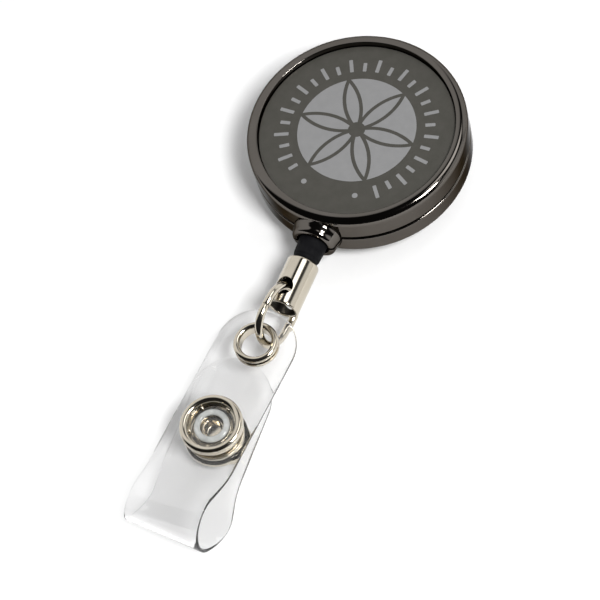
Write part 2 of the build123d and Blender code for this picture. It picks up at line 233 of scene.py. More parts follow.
def scratch(bm, name):
    """Object for the time of one modifier."""
    bmesh.ops.recalc_face_normals(bm, faces=bm.faces)
    mesh = bpy.data.meshes.new(name)
    bm.to_mesh(mesh)
    bm.free()
    thing = bpy.data.objects.new(name, mesh)
    bpy.context.scene.collection.objects.link(thing)
    return thing


def with_modifier(bm, kind, **settings):
    """The mesh after one modifier."""
    thing = scratch(bm, "worked")
    modifier = thing.modifiers.new(kind, kind)
    for key, value in settings.items():
        setattr(modifier, key, value)
    bpy.context.view_layer.update()
    seen = thing.evaluated_get(bpy.context.evaluated_depsgraph_get())
    result = bmesh.new()
    result.from_mesh(seen.to_mesh())
    seen.to_mesh_clear()
    bpy.data.objects.remove(thing)
    return result


def cut(bm, *tools):
    """The mesh with the tools' shapes taken out of it."""
    for tool in tools:
        cutter = scratch(tool, "tool")
        bm = with_modifier(bm, "BOOLEAN", operation="DIFFERENCE", solver="EXACT", object=cutter)
        bpy.data.objects.remove(cutter)
    return bm


def bevelled(bm, width, angle):
    """The mesh with rounded edges wherever its faces turn by more than the angle."""
    limit = math.radians(angle)
    return with_modifier(bm, "BEVEL", width=width, segments=2, limit_method="ANGLE", angle_limit=limit)


def place(name, bm, material, body, nodes=(), sharp=35, weighted=True, blend=None):
    """Turns a mesh into a named piece of the object, in metres, on its CAD body; given blend, it only bakes the
    piece in place on no body, and the blend's points are not used.
    """
    bmesh.ops.recalc_face_normals(bm, faces=bm.faces)
    moved(bm, Matrix.Scale(MM, 4))
    mesh = bpy.data.meshes.new(name)
    bm.to_mesh(mesh)
    bm.free()
    mesh.shade_smooth()
    mesh.set_sharp_from_angle(angle=math.radians(sharp))
    mesh.materials.append(material)
    piece = bpy.data.objects.new(name, mesh)
    bpy.context.scene.collection.objects.link(piece)
    if weighted:
        normals = piece.modifiers.new("normals", "WEIGHTED_NORMAL")
        normals.keep_sharp = True
        normals.weight = 90
    if blend:
        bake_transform(piece)
    else:
        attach(piece, body)
    if nodes:
        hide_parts(*nodes)
    return piece


# Materials

class Shader:
    """A Principled material with its texture nodes, coordinates in millimetres."""

    def __init__(self, name, **values):
        self.material = bpy.data.materials.new(name)
        self.material.use_nodes = True
        self.tree = self.material.node_tree
        self.principled = self.tree.nodes["Principled BSDF"]
        for key, value in values.items():
            self.principled.inputs[key.replace("_", " ")].default_value = value
        coordinates = self.tree.nodes.new("ShaderNodeTexCoord")
        scale = self.tree.nodes.new("ShaderNodeMapping")
        scale.inputs["Scale"].default_value = (1 / MM,) * 3
        self.link(coordinates.outputs["Object"], scale.inputs["Vector"])
        self.where = scale.outputs["Vector"]

    def link(self, output, socket):
        self.tree.links.new(output, socket)

    def stretched(self, scale, turn=(0, 0, 0)):
        """The coordinates scaled unevenly and then turned."""
        node = self.tree.nodes.new("ShaderNodeMapping")
        node.inputs["Scale"].default_value = scale
        node.inputs["Rotation"].default_value = turn
        self.link(self.where, node.inputs["Vector"])
        return node.outputs["Vector"]

    def noise(self, scale, detail=4, roughness=0.55, vector=None):
        node = self.tree.nodes.new("ShaderNodeTexNoise")
        node.inputs["Scale"].default_value = scale
        node.inputs["Detail"].default_value = detail
        node.inputs["Roughness"].default_value = roughness
        self.link(vector or self.where, node.inputs["Vector"])
        return node.outputs["Fac"]

    def remap(self, value, low, high, to_low, to_high):
        node = self.tree.nodes.new("ShaderNodeMapRange")
        for key, number in (("From Min", low), ("From Max", high), ("To Min", to_low), ("To Max", to_high)):
            node.inputs[key].default_value = number
        self.link(value, node.inputs["Value"])
        return node.outputs["Result"]

    def maths(self, operation, *values):
        node = self.tree.nodes.new("ShaderNodeMath")
        node.operation = operation
        for socket, value in zip(node.inputs, values):
            if isinstance(value, (int, float)):
                socket.default_value = value
            else:
                self.link(value, socket)
        return node.outputs["Value"]

    def colours(self, value, *stops):
        """Base colour from a ramp of (place, colour) stops."""
        node = self.tree.nodes.new("ShaderNodeValToRGB")
        ramp = node.color_ramp
        while len(ramp.elements) < len(stops):
            ramp.elements.new(0.5)
        for element, (at, colour) in zip(ramp.elements, stops):
            element.position = at
            element.color = (*colour, 1)
        self.link(value, node.inputs["Fac"])
        self.link(node.outputs["Color"], self.principled.inputs["Base Color"])

    def roughness(self, value, low, high):
        """Roughness between low and high, following a noise value."""
        self.link(self.remap(value, 0.3, 0.7, low, high), self.principled.inputs["Roughness"])

    def bump(self, value, height):
        """Relief of that height in millimetres."""
        node = self.tree.nodes.new("ShaderNodeBump")
        node.inputs["Distance"].default_value = height * MM
        self.link(value, node.inputs["Height"])
        self.link(node.outputs["Normal"], self.principled.inputs["Normal"])


def plated(name, dark, light, rough, edge=1.0):
    """Polished plating: faint clouds in the colour, fine wiping marks in the gloss."""
    shader = Shader(name, Metallic=1.0, Specular_Tint=(edge, edge, edge, 1))
    shader.colours(shader.noise(0.12, 3), (0.35, dark), (0.65, light))
    marks = shader.noise(6, 3, vector=shader.stretched((0.5, 2.2, 1.0), (0.4, 0.2, 0.9)))
    shader.roughness(marks, *rough)
    shader.bump(shader.noise(1.1, 2), 0.0006)
    return shader.material


def scuffed_steel(name, dark, light):
    """Stamped strip: long rolling lines along Y and short scratches across them."""
    shader = Shader(name, Metallic=1.0)
    lines = shader.noise(9, 4, 0.7, vector=shader.stretched((1.0, 0.06, 0.4)))
    scratches = shader.noise(5, 3, 0.6, vector=shader.stretched((0.15, 2.4, 1.0), (0, 0, 0.6)))
    shader.colours(shader.noise(0.5, 4), (0.3, dark), (0.7, light))
    faint_lines = shader.maths("MULTIPLY", lines, 0.6)
    faint_scratches = shader.maths("MULTIPLY", scratches, 0.4)
    shader.roughness(shader.maths("ADD", faint_lines, faint_scratches), 0.1, 0.3)
    shader.bump(lines, 0.0015)
    return shader.material


def moulded(name, dark, light, rough, relief, grain, **values):
    """Moulded plastic, paint or rubber: mottled colour and a fine grain."""
    shader = Shader(name, **values)
    shader.colours(shader.noise(0.6, 4), (0.35, dark), (0.65, light))
    shader.roughness(shader.noise(1.6, 3), *rough)
    shader.bump(shader.noise(grain, 4, 0.65), relief)
    return shader.material


def braided(name, dark, light):
    """Round braid: two crossed sets of fine diagonal ribs about the cord line."""
    shader = Shader(name, Roughness=0.7)
    ribs = []
    for lean in (-0.9, 0.9):
        wave = shader.tree.nodes.new("ShaderNodeTexWave")
        wave.inputs["Scale"].default_value = 1.6
        wave.inputs["Distortion"].default_value = 0.3
        shader.link(shader.stretched((1, 1, 1), (0, 0, lean)), wave.inputs["Vector"])
        ribs.append(wave.outputs["Fac"])
    weave = shader.maths("MAXIMUM", *ribs)
    shader.colours(weave, (0.2, dark), (0.9, light))
    shader.bump(weave, 0.03)
    return shader.material


def clear_vinyl():
    """Clear flexible sheet. Shadow and bounced rays pass it nearly unhindered, as through thin film."""
    shader = Shader("clear_vinyl", Transmission_Weight=1.0, IOR=1.46, Specular_IOR_Level=0.5)
    shader.colours(shader.noise(0.25, 2), (0.3, (0.975, 0.975, 0.977)), (0.7, (0.99, 0.99, 0.99)))
    shader.roughness(shader.noise(0.9, 3), 0.015, 0.06)
    shader.bump(shader.noise(0.16, 2), 0.02)
    nodes = shader.tree.nodes
    clear = nodes.new("ShaderNodeBsdfTransparent")
    clear.inputs["Color"].default_value = (0.87, 0.87, 0.87, 1)
    rays = nodes.new("ShaderNodeLightPath")
    mix = nodes.new("ShaderNodeMixShader")
    unhindered = shader.maths("MAXIMUM", rays.outputs["Is Shadow Ray"], rays.outputs["Is Diffuse Ray"])
    shader.link(unhindered, mix.inputs["Fac"])
    shader.link(shader.principled.outputs["BSDF"], mix.inputs[1])
    shader.link(clear.outputs["BSDF"], mix.inputs[2])
    shader.link(mix.outputs["Shader"], nodes["Material Output"].inputs["Surface"])
    return shader.material


gunmetal = plated("gunmetal", (0.116, 0.106, 0.095), (0.130, 0.119, 0.108), (0.05, 0.10), edge=0.25)
nickel = plated("nickel", (0.52, 0.475, 0.39), (0.59, 0.54, 0.455), (0.08, 0.15))
# Painted shade: near-black plating for the inside of the barrel's bore, standing in for the shadow in the hole
painted_shade_bore = plated("painted_shade_bore", (0.055, 0.050, 0.043), (0.090, 0.083, 0.072), (0.35, 0.5))
clip_steel = scuffed_steel("clip_steel", (0.44, 0.44, 0.45), (0.52, 0.52, 0.53))
post_steel = scuffed_steel("post_steel", (0.48, 0.48, 0.48), (0.58, 0.58, 0.58))
spring_steel = scuffed_steel("spring_steel", (0.26, 0.29, 0.36), (0.36, 0.38, 0.44))
face_paint = moulded(
    "face_paint", (0.055, 0.053, 0.045), (0.063, 0.060, 0.052), (0.38, 0.46), 0.0008, 3.0,
    Specular_IOR_Level=0.25,
)
face_ink = moulded("face_ink", (0.218, 0.218, 0.220), (0.232, 0.232, 0.234), (0.45, 0.55), 0.0008, 3.0)
adhesive = moulded("adhesive", (0.70, 0.69, 0.64), (0.78, 0.77, 0.72), (0.5, 0.7), 0.01, 2.0)
black_rubber = moulded(
    "black_rubber", (0.004, 0.004, 0.005), (0.008, 0.008, 0.009), (0.6, 0.8), 0.012, 5.0,
    Specular_IOR_Level=0.06,
)
black_nylon = moulded("black_nylon", (0.025, 0.025, 0.026), (0.035, 0.035, 0.036), (0.35, 0.5), 0.006, 4.0)
white_acetal = moulded("white_acetal", (0.80, 0.80, 0.76), (0.87, 0.87, 0.84), (0.3, 0.4), 0.004, 3.0)
black_cord = braided("black_cord", (0.008, 0.008, 0.009), (0.035, 0.035, 0.037))
vinyl_clear = clear_vinyl()
milky_vinyl = moulded("milky_vinyl", (0.34, 0.35, 0.34), (0.50, 0.51, 0.50), (0.06, 0.12), 0.004, 3.0)

# Each CAD node gets its finish, and those that no piece below replaces show as they are
finish_of = {
    "adhesive": adhesive, "post_steel": post_steel, "spring_steel": spring_steel,
    "white_acetal": white_acetal, "black_nylon": black_nylon, "black_cord": black_cord,
    "nickel": nickel, "clip_steel": clip_steel, "gunmetal": gunmetal, "face_paint": face_paint,
    "black_rubber": black_rubber, "clear_vinyl": vinyl_clear,
}
for row in frame["record"]["subparts"]:
    frame["nodes"][row["node"]].material_slots[0].material = finish_of[row["material_slot"]]

# Case: two covers that meet in a fine seam, with half of the cord's nozzle on each

wall = 1.2
inner_r = case_r - wall
rim_round = 1.1
recess_r = 14.8
recess_floor = -0.65
face_plate = 1.0
edge_break = 0.24
seam_ease = 0.09


def along_cord():
    """Turns a mesh built about Z so that its axis is the cord line, +Z becoming -Y."""
    return Matrix.Translation((0, 0, cord_z)) @ Matrix.Rotation(math.pi / 2, 4, "X")


def passage():
    """Cutter for the cord's way through the case wall, behind the nozzle."""
    way_r, inner_end, outer_end = 2.2, 13.0, 17.0
    return moved(cylinder(way_r, inner_end, outer_end, 48), along_cord())


def hood_half(upper):
    """Half of the nozzle: a flared root in the wall, a waist and a rolled lip, hollow for the guide bush."""
    root, bush_r, mouth_r, mouth_floor = 15.35, 2.0, 2.5, nozzle_end - 0.8
    outside = smooth_curve([
        (3.5, root), (3.68, 15.75), (3.74, 16.15), (3.7, 16.6), (3.58, 17.0), (3.48, 17.35),
        (3.44, 17.65), (3.38, 17.9), (3.24, 18.12), (2.98, 18.27),
    ])
    inside = rounded([
        (mouth_r + 0.25, nozzle_end, 0), (mouth_r, nozzle_end, 0.12), (mouth_r, mouth_floor, 0),
        (bush_r, mouth_floor, 0), (bush_r, root, 0),
    ])
    outline = [Vector(p) for p in outside] + [Vector((2.88, nozzle_end))] + inside
    columns = 97
    bm = bmesh.new()
    loops = []
    sign = 1 if upper else -1
    for column in range(columns):
        loop = []
        for radius, reach in outline:
            least = math.asin((seam_half + seam_ease) / radius)
            turn = least + (math.pi - 2 * least) * column / (columns - 1)
            at = (radius * math.cos(turn), -reach, cord_z + sign * radius * math.sin(turn))
            loop.append(bm.verts.new(at))
        loops.append(loop)
    add_loops(bm, loops, closed=False)
    bm.faces.new(loops[0])
    bm.faces.new(loops[-1])
    return bevelled(bm, 0.06, 60)


def front_shell():
    """Front cover: a drum with a rounded rim round the recess for the face disc."""
    inner_face = recess_floor - face_plate
    seam = seam_top + seam_ease
    outline = rounded([
        (0, inner_face, 0), (inner_r, inner_face, 0.3), (inner_r, seam, 0.05), (case_r, seam, edge_break),
        (case_r, rim_top, rim_round), (recess_r, rim_top, 0.14), (recess_r, recess_floor, 0.1),
        (0, recess_floor, 0),
    ], 10)
    return cut(lathe(outline), passage())


def back_shell():
    """Back cover: a flat plateau with holes for post and rivet, sloping sides and a lip inside the front."""
    lip_r, lip_thick, floor_thick, lower_edge, plateau_r = inner_r - 0.05, 0.75, 0.8, -7.1, 11.5
    post_hole_r, rivet_hole_r = 1.05, 1.05
    lip_inner_r = lip_r - lip_thick
    seam_low = cord_z - seam_half - seam_ease
    floor_inside = plateau + floor_thick
    outline = rounded([
        (post_hole_r, plateau, 0.08), (plateau_r, plateau, 1.2), (case_r - 0.35, lower_edge, 0.5),
        (case_r, lower_edge + 0.45, 0.3), (case_r, seam_low, edge_break), (lip_r, seam_low, 0.04),
        (lip_r, lip_top, 0.15), (lip_inner_r, lip_top, 0.15), (lip_inner_r, lower_edge + 0.9, 0.4),
        (plateau_r - 0.2, floor_inside, 1.0), (post_hole_r, floor_inside, 0),
    ], 8)
    rivet_at = middle("clip_rivet")
    rivet_hole = cylinder(rivet_hole_r, plateau - 1, floor_inside + 1, 32)
    moved(rivet_hole, Matrix.Translation((rivet_at.x, rivet_at.y, 0)))
    return cut(lathe(outline), passage(), rivet_hole)


def face_disc():
    low, high = disc_low.z, disc_high.z
    return lathe(rounded([(0, low, 0), (disc_r, low, 0.05), (disc_r, high, 0.1), (0, high, 0)]))


front_cover = joined(front_shell(), hood_half(True))
place("front_cover_shell", front_cover, gunmetal, "casing", ["front_cover"])
back_cover = joined(back_shell(), hood_half(False))
place("back_cover_shell", back_cover, gunmetal, "casing", ["back_cover"])
place("face_disc_enamel", face_disc(), face_paint, "casing", ["face_disc"])

# Print on the face: a plain six-petal rosette inside a ring of bars

ink_thick = 0.02
rosette_r = 8.9
petals = 6
line_width = 0.55
hub_r = 1.3
bars = 34
bar_inner, bar_outer, shorter_by = 10.2, 12.4, 0.7
bar_half, bar_corner = 0.28, 0.1
dot_r, dot_ring_r = 0.42, 11.3
gap_bars = 3


def rosette():
    """Inked disc; the lines round its petals are rings about points on its own rim, cut out of it."""
    ink = cylinder(rosette_r, 0, ink_thick, 128)
    outer, inner = rosette_r + line_width / 2, rosette_r - line_width / 2
    grooves = []
    for k in range(petals):
        shift = shift_round(rosette_r, math.tau * k / petals)
        grooves.append(moved(cylinder(outer, -1, 1, 128, inner), shift))
    return cut(ink, *grooves, cylinder(hub_r, -1, 1, 48))


def ring_of_bars():
    """Bars all round but for a gap on the cord's side, where two dots stand."""
    step = math.tau / bars
    shapes = []
    for k in range(bars):
        turn = -math.pi / 2 + step * (k + 0.5)
        from_gap = min(k + 0.5, bars - k - 0.5)
        if from_gap < gap_bars:
            continue
        tall = bar_outer if k % 2 else bar_outer - shorter_by
        bar = prism(rounded([
            (bar_inner, -bar_half, bar_corner), (tall, -bar_half, bar_corner),
            (tall, bar_half, bar_corner), (bar_inner, bar_half, bar_corner),
        ], 2), 0, ink_thick)
        shapes.append(moved(bar, Matrix.Rotation(turn, 4, "Z")))
    for side in (-1, 1):
        turn = -math.pi / 2 + side * step * (gap_bars - 1)
        shapes.append(moved(cylinder(dot_r, 0, ink_thick, 32), shift_round(dot_ring_r, turn)))
    return joined(*shapes)


face_print = joined(rosette(), ring_of_bars())
place("face_print", face_print, face_ink, "casing", weighted=False)

# Fitting at the cord's end

sleeve_start, sleeve_end = -sleeve_high.y, -sleeve_low.y
sleeve_r = sleeve_high.x
barrel_start, barrel_end = -barrel_high.y, -barrel_low.y
barrel_r = barrel_high.x
barrel_hole_r, barrel_cap = 1.95, 0.6
cord_r = tail_high.x
link_at = Vector(joint("link_swing")["pos_m"]) / MM
# How far out the cord was meant to stay with the case, and from where to follow the fitting; place() takes these
# as blend but doesn't use them
cord_held, cord_drawn = 15.5, 17.6


def bumper_sleeve():
    """Rubber sleeve that stops against the nozzle, with a narrow neck at the barrel."""
    shoulder, small_r, neck_r, hole_r = sleeve_end - 0.75, sleeve_r - 0.2, sleeve_r - 0.35, 0.5
    outline = rounded([
        (hole_r, sleeve_start, 0.1), (sleeve_r, sleeve_start, 0.3), (small_r, shoulder, 0.2),
        (neck_r, shoulder + 0.25, 0.08), (neck_r, sleeve_end, 0.15), (hole_r, sleeve_end, 0),
    ])
    return moved(lathe(outline, 96), along_cord())


def cross_hole():
    """Cutter for the hole that the link swings in."""
    hole_r, reach = 1.5, 6
    aim = Vector((0, 0, 1)).rotation_difference(link_axis).to_matrix().to_4x4()
    return moved(cylinder(hole_r, -reach, reach, 64), Matrix.Translation(link_at) @ aim)


def end_barrel():
    """Barrel capped at the cord's end. Rings along both walls keep the cross hole's edges clean."""
    cord_hole_r, lip, margin, rows = 0.7, 0.22, 0.6, 40
    outer_run = barrel_end - barrel_start - 2 * margin
    inner_run = barrel_end - barrel_start - barrel_cap - 2 * margin
    outside = [(barrel_r, barrel_start + margin + outer_run * k / rows, 0) for k in range(1, rows)]
    inside = [(barrel_hole_r, barrel_end - margin - inner_run * k / rows, 0) for k in range(1, rows)]
    cap_inside = barrel_start + barrel_cap
    outline = rounded([
        (cord_hole_r, barrel_start, 0.1), (barrel_r, barrel_start, 0.5), *outside,
        (barrel_r, barrel_end, lip), (barrel_hole_r, barrel_end, lip * 0.95), *inside,
        (barrel_hole_r, cap_inside, 0.2), (cord_hole_r, cap_inside, 0.1),
    ], 6)
    return cut(moved(lathe(outline, 160), along_cord()), cross_hole())


def painted_shade_bore_skin():
    """Dark skin lining the barrel's bore: painted shade, standing in for the shadow deep in the hole."""
    near, far = barrel_start + barrel_cap + 0.1, barrel_end - 0.25
    gap, thick = 0.005, 0.05
    skin = cylinder(barrel_hole_r - gap, near, far, 96, barrel_hole_r - thick)
    return cut(moved(skin, along_cord()), cross_hole())


def link_ring():
    """Stadium-shaped wire link whose butt joint shows as a fine gap on one side."""
    wire_r, end_r = 0.6, 3.55
    near, far = -29.65, -31.65
    butt, gap = near - 1.4, 0.06
    steps = 40
    turns = [math.pi * k / steps for k in range(1, steps)]
    flat = [(end_r, butt - gap), (end_r, far)]
    flat += [(end_r * math.cos(a), far - end_r * math.sin(a)) for a in turns]
    flat += [(-end_r, far), (-end_r, near)]
    flat += [(-end_r * math.cos(a), near + end_r * math.sin(a)) for a in turns]
    flat += [(end_r, near), (end_r, butt)]
    outwards = (Vector(joint("strap_swing")["pos_m"]) / MM - link_at).normalized()
    path = [link_at - outwards * (y - link_at.y) + link_axis * across for across, y in flat]
    return bevelled(tube(path, wire_r, 32), 0.08, 60)


def cord_tail():
    """The stretch of cord out to the fitting: a straight tube with many rings along it."""
    start, end, rings = 14.6, -tail_low.y, 60
    path = [Vector((0, -(start + (end - start) * k / rings), cord_z)) for k in range(rings + 1)]
    return tube(path, cord_r, 24)


place("bumper_sleeve_rubber", bumper_sleeve(), black_rubber, "cord_end", ["bumper_sleeve"])
place("end_barrel_shell", end_barrel(), nickel, "fitting", ["end_barrel"])
# Painted shade: the bore's dark lining stands in for the shadow inside the barrel
place("end_barrel_painted_shade", painted_shade_bore_skin(), painted_shade_bore, "fitting", weighted=False)
place("wire_link", link_ring(), nickel, "link", ["link_ring"])
place(
    "pull_cord", cord_tail(), black_cord, ("casing", "cord_end"), ["cord_tail"], weighted=False,
    blend=((0, -cord_held, cord_z), (0, -cord_drawn, cord_z)),
)

# Strap frame: the eyelet's centre, -Y along the strap, +Z up

strap_at = middle("strap_eyelet")
strap_along = strap_across.cross(Vector((0, 0, 1)))
strap_axes = Matrix((strap_across, -strap_along, Vector((0, 0, 1)))).transposed().to_4x4()
strap_frame = Matrix.Translation(strap_at) @ strap_axes


def route(start, heading, runs):
    """Path of (length, turn in degrees) runs in the side plane.

    Returns its length, and a function that gives the point and the normal at a distance along it.
    """
    def at(distance):
        point, angle = Vector(start), math.radians(heading)
        left = distance
        for index, (length, turn) in enumerate(runs):
            last = index == len(runs) - 1
            step = left if last else min(left, length)
            turned = math.radians(turn) * step / length
            if abs(turned) > 1e-9:
                radius = step / turned
                point = point + radius * Vector((
                    math.sin(angle + turned) - math.sin(angle), math.cos(angle) - math.cos(angle + turned),
                ))
            else:
                point = point + step * Vector((math.cos(angle), math.sin(angle)))
            angle += turned
            left -= step
            if left <= 0:
                break
        return point, Vector((-math.sin(angle), math.cos(angle)))
    return sum(length for length, _ in runs), at


def ribbon(path, stations, thick, edge, blunt=(False, False)):
    """Strip of (distance, half width) stations along a route, its edges rounded but for blunt ends."""
    _, at = path
    count = len(stations)
    plan = [Vector((d, w)) for d, w in stations] + [Vector((d, -w)) for d, w in reversed(stations)]

    def inset(index, depth):
        """Point of the plan drawn in from its edge."""
        here = plan[index]
        station = index if index < count else 2 * count - 1 - index
        sign = 1 if index < count else -1
        if (station == 0 and blunt[0]) or (station == count - 1 and blunt[1]):
            return here - Vector((0, sign * depth))
        before = (here - plan[index - 1]).normalized()
        after = (plan[(index + 1) % (2 * count)] - here).normalized()
        out_before, out_after = Vector((-before.y, before.x)), Vector((-after.y, after.x))
        return here - depth * (out_before + out_after) / (1 + out_before.dot(out_after))

    def lift(flat, height):
        """Point of the plan laid along the route."""
        point, normal = at(flat.x)
        spot = point + normal * height
        return (flat.y, -spot.x, spot.y)

    bm = bmesh.new()
    steps, columns = 4, 12
    half = thick / 2
    levels = []
    for k in range(steps + 1):
        turn = math.pi / 2 * k / steps
        levels.append((edge * (1 - math.sin(turn)), half - edge * (1 - math.cos(turn))))
    levels += [(depth, -height) for depth, height in reversed(levels)]
    loops = []
    for depth, height in levels:
        loops.append([bm.verts.new(lift(inset(k, depth), height)) for k in range(2 * count)])
    add_loops(bm, loops, closed=False)
    for loop, (depth, height) in ((loops[0], levels[0]), (loops[-1], levels[-1])):
        rows = []
        for k in range(count):
            left, right = inset(k, depth), inset(2 * count - 1 - k, depth)
            row = [loop[k]]
            row += [bm.verts.new(lift(left.lerp(right, c / columns), height)) for c in range(1, columns)]
            row.append(loop[2 * count - 1 - k])
            rows.append(row)
        for one, two in zip(rows, rows[1:]):
            for c in range(columns):
                bm.faces.new([one[c], one[c + 1], two[c + 1], two[c]])
    return bm


def spread(start, end, step):
    """Evenly spaced distances from start to end, both included."""
    count = max(1, round(abs(end - start) / step))
    return [start + (end - start) * k / count for k in range(count + 1)]


def round_end(centre, radius, sign):
    """Stations of a half-round end: sign -1 before the centre, +1 after it."""
    turns = [math.radians(2.5 + 5 * k) for k in range(18)]
    rows = [(centre + sign * radius * math.sin(a), radius * math.cos(a)) for a in turns]
    return rows if sign > 0 else rows[::-1]


vinyl = 0.5
half_width = 6.05
eyelet_end = 5.65
flap_end = 1.8
layer_drop = 3.2
loop_centre = Vector((26.4, -2.3))
loop_r = 4.0
bulge_start, bulge_end = 19.0, 24.0
lift_start, lift_mid, lift_slope = 8.9, 6.2, 5.0
snap_at = -(strap_frame.inverted() @ middle("snap_ring_top")).y


def tangent_arc(level, side):
    """Radius and turn of the arc between a flat layer and the loop's circle."""
    gap = side * (level - loop_centre.y)
    run = loop_centre.x - bulge_start
    radius = (run**2 - loop_r**2 + gap**2) / (2 * (loop_r - gap))
    return radius, math.degrees(math.atan2(run, radius + gap))


def strap_route():
    """Out from the eyelet's end, round the wide loop and back under, up to the flap's end."""
    rise_r, rise_turn = tangent_arc(0, 1)
    fall_r, fall_turn = tangent_arc(-layer_drop, -1)
    loop_turn = 180 + rise_turn + fall_turn
    lift_r = (lift_start - lift_mid) / math.sin(math.radians(lift_slope))
    return route((-eyelet_end, 0), 0, [
        (eyelet_end + bulge_start, 0),
        (math.radians(rise_turn) * rise_r, rise_turn),
        (math.radians(loop_turn) * loop_r, -loop_turn),
        (math.radians(fall_turn) * fall_r, fall_turn),
        (bulge_start - lift_start, 0),
        (math.radians(lift_slope) * lift_r, -lift_slope),
        ((lift_mid - flap_end) / math.cos(math.radians(lift_slope)), 0),
    ])


def ease(value, start, end):
    """0 before start, 1 past end, smooth between."""
    part = min(max((value - start) / (end - start), 0), 1)
    return part * part * (3 - 2 * part)


def relaxed(bm):
    """The loop opens wider on its right edge, and the flap lies a little askew on the snap."""
    cone, askew = 0.042, math.tan(math.radians(6.0))
    askew_end, straight_start = loop_centre.x - 4, loop_centre.x + 3
    for vertex in bm.verts:
        x, y, z = vertex.co
        beyond = ease(-y, bulge_start, bulge_end)
        vertex.co.z = loop_centre.y + (z - loop_centre.y) * (1 + cone * x * beyond)
        if z < loop_centre.y:
            vertex.co.x -= askew * (snap_at + y) * (1 - ease(-y, askew_end, straight_start))
    return bm


def strap():
    """One sheet of vinyl with half-round ends and the eyelet's hole."""
    hole_r, edge, reach = 2.5, 0.2, 0.7
    path = strap_route()
    length, _ = path
    near, far = half_width, length - half_width
    stations = round_end(near, half_width, -1)
    stations += [(d, half_width) for d in spread(near, far, 0.5)]
    stations += round_end(far, half_width, 1)
    sheet = ribbon(path, stations, vinyl, edge)
    hole = cylinder(hole_r, -reach, reach, 64)
    return moved(relaxed(cut(sheet, hole)), strap_frame)


def in_strap(bm):
    return moved(bm, strap_frame)


def at_snap(bm):
    return moved(bm, strap_frame @ Matrix.Translation((0, -snap_at, 0)))


# A plane through the hinge that passes between the layers at the eyelet, meant as the seam between the strap's two
# bodies; place() takes it as blend but doesn't use it
between_layers = -1.3
hinge = Vector(joint("flap_open")["pos_m"]) / MM
plane_end = strap_frame @ Vector((0, eyelet_end, between_layers))
plane_along = (plane_end - hinge).normalized()
plane_down = plane_along.cross(strap_across).normalized()
if plane_down.z > 0:
    plane_down = -plane_down
fold_half = 0.75
place(
    "clear_strap", strap(), vinyl_clear, ("strap", "flap"), ["strap_upper", "strap_flap"],
    sharp=50, weighted=False, blend=(hinge - plane_down * fold_half, hinge + plane_down * fold_half),
)

# Eyelet and snap

ring_height = cad_mm("snap_ring_top")[1].z - strap_at.z - vinyl / 2
ring_r = 4.6
flange_r = 4.2


def eyelet():
    """Barrel through the vinyl with both ends rolled over on it."""
    hole_r, outer_r, roll, bitten, wall_thick = 2.25, 3.3, 0.5, 0.12, 0.25
    half = vinyl / 2
    steps = 14
    # The roll's turns in half circles, from inside the hole, over the top and out to the vinyl
    arc_start, arc_run = 1.02, 1.22
    turns = [math.pi * (arc_start - arc_run * k / steps) for k in range(steps + 1)]
    outline = []
    for side in (1, -1):
        level = side * (half + roll - bitten)
        rim = [(outer_r - roll + roll * math.cos(a), level + side * roll * math.sin(a)) for a in turns]
        under = [(hole_r + wall_thick, side * half)]
        outline += rim + under if side > 0 else under + rim[::-1]
    return lathe([(max(radius, hole_r), level) for radius, level in outline], 128)


def snap_cap(surface, side):
    """Pronged ring: a rolled outer rim, a groove inside it and the prongs' clenched tips."""
    top = surface + side * ring_height
    curl, groove_r, prong_ring_r = 0.5, ring_r - 1.15, 3.3
    prongs, tip_r, tip_height = 5, 0.34, 0.34
    outline = rounded([
        (ring_r, surface, 0.06), (ring_r, top, curl), (groove_r, top, curl + 0.05),
        (groove_r, surface + side * 0.1, 0.03), (prong_ring_r, surface + side * 0.08, 0.03),
        (prong_ring_r, surface, 0.02),
    ], 8)
    parts = [lathe(outline, 128)]
    flip = Matrix.Scale(side, 4, (0, 0, 1))
    tip = rounded([(0, 0, 0), (tip_r, 0, 0.05), (tip_r - 0.04, tip_height, 0.2), (0, tip_height, 0)], 4)
    for k in range(prongs):
        shift = shift_round(prong_ring_r, math.tau * k / prongs, surface + side * 0.05)
        parts.append(moved(lathe(tip, 20), shift @ flip))
    return joined(*parts)


def snap_socket():
    """Socket: a pressed cup under the vinyl with a raised ring and the hole for the stud."""
    top, depth = -vinyl / 2, 1.95
    low = top - depth
    return lathe(rounded([
        (1.75, top - 0.5, 0.1), (1.8, top - 0.05, 0.15), (2.75, top - 0.05, 0.2), (2.95, top - 0.7, 0.1),
        (3.2, top - 0.85, 0.15), (3.5, top - 0.6, 0.1), (3.7, top, 0.15), (flange_r, top, 0.2),
        (flange_r, top - 0.75, 0.3), (3.7, top - 0.9, 0.2), (3.6, low, 0.35), (2.3, low, 0.3),
        (2.2, low + 0.7, 0.1), (1.95, low + 0.9, 0.1),
    ], 4), 128)


def snap_pad():
    """Ring of the vinyl that the socket presses up inside the cap, whitened by the strain."""
    inner, outer = 1.7, 2.6
    low, high = vinyl / 2 + 0.01, vinyl / 2 + 0.42
    return lathe(rounded([(inner, low, 0), (inner, high, 0.28), (outer, high, 0.36), (outer, low, 0)], 6), 96)


def snap_stud():
    """Stud: a flange on the flap and a hollow post that widens towards its tip."""
    base, thick, post = -layer_drop + vinyl / 2, 0.65, 1.6
    top = base + thick
    tip = top + post
    return lathe(rounded([
        (0, base, 0), (flange_r, base, 0.1), (flange_r, top, 0.2), (2.6, top, 0.3), (1.6, top + 0.12, 0.2),
        (1.5, top + 0.5, 0.2), (1.8, top + 0.95, 0.3), (1.7, tip, 0.3), (1.3, tip, 0.15),
        (1.15, top + 0.3, 0.2), (0, top + 0.2, 0),
    ], 4), 128)


